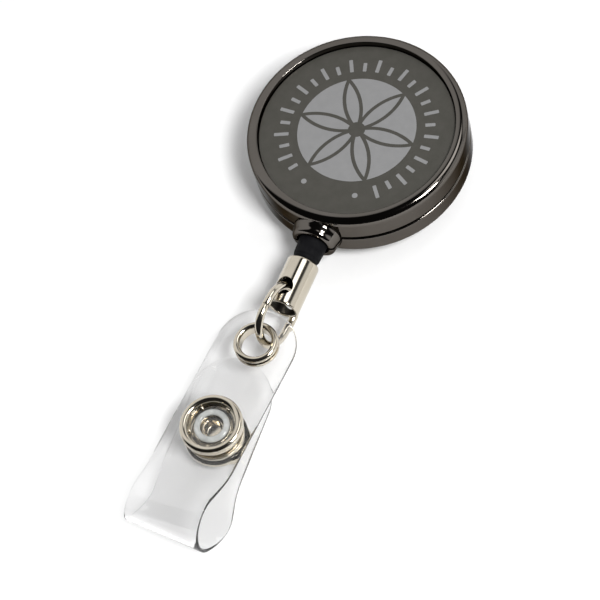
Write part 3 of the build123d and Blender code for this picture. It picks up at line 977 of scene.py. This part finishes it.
place("eyelet_rolled", in_strap(eyelet()), nickel, "strap", ["strap_eyelet"])
place("snap_cap_top", at_snap(snap_cap(vinyl / 2, 1)), nickel, "strap", ["snap_ring_top"])
place("snap_socket_cup", at_snap(snap_socket()), nickel, "strap", ["snap_socket"])
place("snap_pad", at_snap(snap_pad()), milky_vinyl, "strap", weighted=False)
place("snap_stud_post", at_snap(snap_stud()), nickel, "flap", ["snap_stud"])
lower_cap = at_snap(snap_cap(-layer_drop - vinyl / 2, -1))
place("snap_cap_bottom", lower_cap, nickel, "flap", ["snap_ring_bottom"])

# Slip clip on the back

clip_thick = 0.75
clip_half = 3.75
clip_edge = 0.18
fold_at, leaf_free = 14.6, 13.0
base_level = plateau - clip_thick / 2
leaf_level = (Vector(joint("clip_flex")["pos_m"]) / MM).z
fold_r = (base_level - leaf_level) / 2
base_start = 1.6
ear_near, ear_far, ear_half = 4.3, 9.6, 4.75


def clip_base():
    """Leaf against the case, widened where its two ears are bent down."""
    length, slant = fold_at - base_start, 0.25
    near, far = ear_near - base_start, ear_far - base_start
    path = route((-base_start, base_level), 180, [(length, 0)])
    widths = [
        (0, clip_half), (near - slant, clip_half), (near, ear_half),
        (far, ear_half), (far + slant, clip_half), (length, clip_half),
    ]
    parts = [ribbon(path, widths, clip_thick, clip_edge, blunt=(False, True))]
    ear_drop, ear_thick, ear_corner = 1.75, 0.6, 1.2
    ear_low = base_level - clip_thick / 2 - ear_drop
    # Stands an outline drawn as (Y, Z) up on the YZ plane
    upright = Matrix(((0, 0, 1, 0), (1, 0, 0, 0), (0, 1, 0, 0), (0, 0, 0, 1)))
    for side in (-1, 1):
        ear = prism(rounded([
            (ear_near, base_level, 0), (ear_far, base_level, 0),
            (ear_far, ear_low, ear_corner), (ear_near, ear_low, ear_corner),
        ], 8), -ear_thick / 2, ear_thick / 2)
        shift = Matrix.Translation((side * (ear_half - ear_thick / 2), 0, 0))
        parts.append(bevelled(moved(ear, shift @ upright), 0.14, 50))
    return joined(*parts)


def clip_leaf():
    """Fold, long sprung leaf and flared lip with its corners cut."""
    slope_start, bend, lip = 12.6, Vector((-6.5, -9.05)), Vector((-10.6, -10.9))
    slope = Vector((slope_start, leaf_level)) - bend
    slope_turn = math.degrees(math.atan2(-slope.y, slope.x))
    fall = bend - lip
    lip_turn = slope_turn + math.degrees(math.atan2(fall.y, fall.x))
    slope_r, bend_r = 8.0, 0.9
    slope_cut = slope_r * math.tan(math.radians(slope_turn) / 2)
    bend_cut = bend_r * math.tan(math.radians(lip_turn) / 2)
    path = route((-fold_at, base_level), 180, [
        (math.pi * fold_r, 180),
        (fold_at - slope_start - slope_cut, 0),
        (math.radians(slope_turn) * slope_r, slope_turn),
        (slope.length - slope_cut - bend_cut, 0),
        (math.radians(lip_turn) * bend_r, -lip_turn),
        (fall.length - bend_cut, 0),
    ])
    length, _ = path
    corner, corner_run, tip = 2.0, 1.8, 0.05
    widths = [(d, clip_half) for d in spread(0, length - corner_run, 0.3)]
    widths += [(length - tip, clip_half - corner), (length, clip_half - corner - tip)]
    return ribbon(path, widths, clip_thick, clip_edge, blunt=(True, False))


def rivet():
    """Domed head under the clip, a shank through leaf and cover, and a flattened tail inside."""
    where = middle("clip_rivet")
    head_low, head_top = rivet_low.z, plateau - clip_thick
    tail_start, tail_end = rivet_high.z - 0.3, rivet_high.z
    dome_r, head_r, shank_r, tail_r = 0.9, 1.9, 0.98, 1.48
    outline = rounded([
        (0, head_low, 0), (dome_r, head_low, 0.5), (head_r, head_top - 0.2, 0.25), (head_r, head_top, 0.05),
        (shank_r, head_top, 0), (shank_r, tail_start, 0), (tail_r, tail_start, 0.05),
        (tail_r, tail_end, 0.1), (0, tail_end, 0),
    ], 6)
    return moved(lathe(outline, 72), Matrix.Translation((where.x, where.y, 0)))


place("clip_base_leaf", clip_base(), clip_steel, "casing", ["clip_base"])
place(
    "clip_spring_leaf", clip_leaf(), clip_steel, ("casing", "clip"), ["clip_leaf"],
    weighted=False, blend=((0, fold_at, leaf_level), (0, leaf_free, leaf_level)),
)
place("clip_rivet_domed", rivet(), clip_steel, "casing", ["clip_rivet"])

# Floor, light and camera

def soft_floor():
    """Pale sheet of paper, far larger than the object."""
    half, thick = 900, 2
    bm = prism([(-half, -half), (half, -half), (half, half), (-half, half)], -thick, 0)
    moved(bm, Matrix.Translation((0, 0, floor_z)))
    moved(bm, Matrix.Scale(MM, 4))
    bmesh.ops.recalc_face_normals(bm, faces=bm.faces)
    mesh = bpy.data.meshes.new("floor")
    bm.to_mesh(mesh)
    bm.free()
    floor = bpy.data.objects.new("floor", mesh)
    bpy.context.scene.collection.objects.link(floor)
    paper = moulded(
        "paper", (0.95, 0.95, 0.95), (0.96, 0.96, 0.96), (0.9, 1.0), 0.001, 2.0, Specular_IOR_Level=0.0
    )
    mesh.materials.append(paper)


def towards(turn, lift, distance):
    """Point at a compass turn from +X and a lift above the floor, in degrees."""
    turn, lift = math.radians(turn), math.radians(lift)
    level = math.cos(lift)
    return Vector((math.cos(turn) * level, math.sin(turn) * level, math.sin(lift))) * distance


def soft_box(name, turn, lift, distance, size, watts, matt=True, gloss=True):
    """Square area light aimed at the origin; matt or glossy surfaces can be left out of its light."""
    light = bpy.data.lights.new(name, "AREA")
    light.shape = "RECTANGLE"
    light.size, light.size_y = size, size
    light.energy = watts
    lamp = bpy.data.objects.new(name, light)
    lamp.location = towards(turn, lift, distance)
    lamp.rotation_euler = lamp.location.to_track_quat("Z", "Y").to_euler()
    lamp.visible_diffuse, lamp.visible_glossy = matt, gloss
    bpy.context.scene.collection.objects.link(lamp)


def studio():
    """White for the camera, an even fill for matt surfaces, and bright patches in a dark room for gloss."""
    world = bpy.data.worlds.new("studio")
    bpy.context.scene.world = world
    world.use_nodes = True
    tree = world.node_tree
    tree.nodes.clear()
    where = tree.nodes.new("ShaderNodeTexCoord")
    out = tree.nodes.new("ShaderNodeOutputWorld")
    rays = tree.nodes.new("ShaderNodeLightPath")

    def background(strength):
        node = tree.nodes.new("ShaderNodeBackground")
        node.inputs["Color"].default_value = (1, 1, 1, 1)
        node.inputs["Strength"].default_value = strength
        return node.outputs["Background"]

    def patch(turn, lift, inner, outer):
        """1 within inner degrees of the direction that turn and lift give, 0 beyond outer degrees."""
        dot = tree.nodes.new("ShaderNodeVectorMath")
        dot.operation = "DOT_PRODUCT"
        tree.links.new(where.outputs["Generated"], dot.inputs[0])
        dot.inputs[1].default_value = towards(turn, lift, 1)
        fade = tree.nodes.new("ShaderNodeMapRange")
        fade.interpolation_type = "SMOOTHSTEP"
        fade.inputs["From Min"].default_value = math.cos(math.radians(outer))
        fade.inputs["From Max"].default_value = math.cos(math.radians(inner))
        tree.links.new(dot.outputs["Value"], fade.inputs["Value"])
        return fade.outputs["Result"]

    def mix(factor, one, two):
        node = tree.nodes.new("ShaderNodeMixShader")
        tree.links.new(factor, node.inputs["Fac"])
        tree.links.new(one, node.inputs[1])
        tree.links.new(two, node.inputs[2])
        return node.outputs["Shader"]

    room, screen, window, side, fill, white = (background(s) for s in (0.02, 1.0, 3.0, 1.0, 0.42, 1.0))
    # From the camera: a wide screen behind, a small bright window high on the right, two screens below it
    gloss = mix(patch(150, 20, 43, 50), room, screen)
    gloss = mix(patch(57, 61, 9, 16), gloss, window)
    gloss = mix(patch(75, 14, 26, 33), gloss, screen)
    gloss = mix(patch(22, 10, 16, 28), gloss, side)
    view = mix(rays.outputs["Is Diffuse Ray"], gloss, fill)
    view = mix(rays.outputs["Is Camera Ray"], view, white)
    tree.links.new(view, out.inputs["Surface"])


def camera():
    """Long lens at the viewing angle, tipped over a little."""
    turn, lift, roll = math.radians(40.75), math.radians(60.03), math.radians(-20.03)
    lens, sensor, reach = 144.0, 36, 353.16
    shift_right, shift_up = -8.196, -25.56
    back = Vector((math.sin(turn) * math.cos(lift), -math.cos(turn) * math.cos(lift), math.sin(lift)))
    right = Vector((math.cos(turn), math.sin(turn), 0))
    up = back.cross(right)
    tipped_right = right * math.cos(roll) + up * math.sin(roll)
    tipped_up = up * math.cos(roll) - right * math.sin(roll)
    aim = Vector((0, 0, rim_top)) + tipped_right * shift_right + tipped_up * shift_up
    data = bpy.data.cameras.new("camera")
    data.lens = lens
    data.sensor_width = sensor
    data.clip_start = 0.01
    eye = bpy.data.objects.new("camera", data)
    axes = Matrix((tipped_right, tipped_up, back)).transposed().to_4x4()
    eye.matrix_world = Matrix.Translation((aim + back * reach) * MM) @ axes
    bpy.context.scene.collection.objects.link(eye)
    bpy.context.scene.camera = eye


soft_floor()
studio()
soft_box("key", turn=-30, lift=56, distance=0.6, size=0.13, watts=3.2, gloss=False)
soft_box("glint", turn=-2, lift=52, distance=0.6, size=0.15, watts=4.0, matt=False)
camera()
bpy.context.scene.view_settings.view_transform = "Standard"
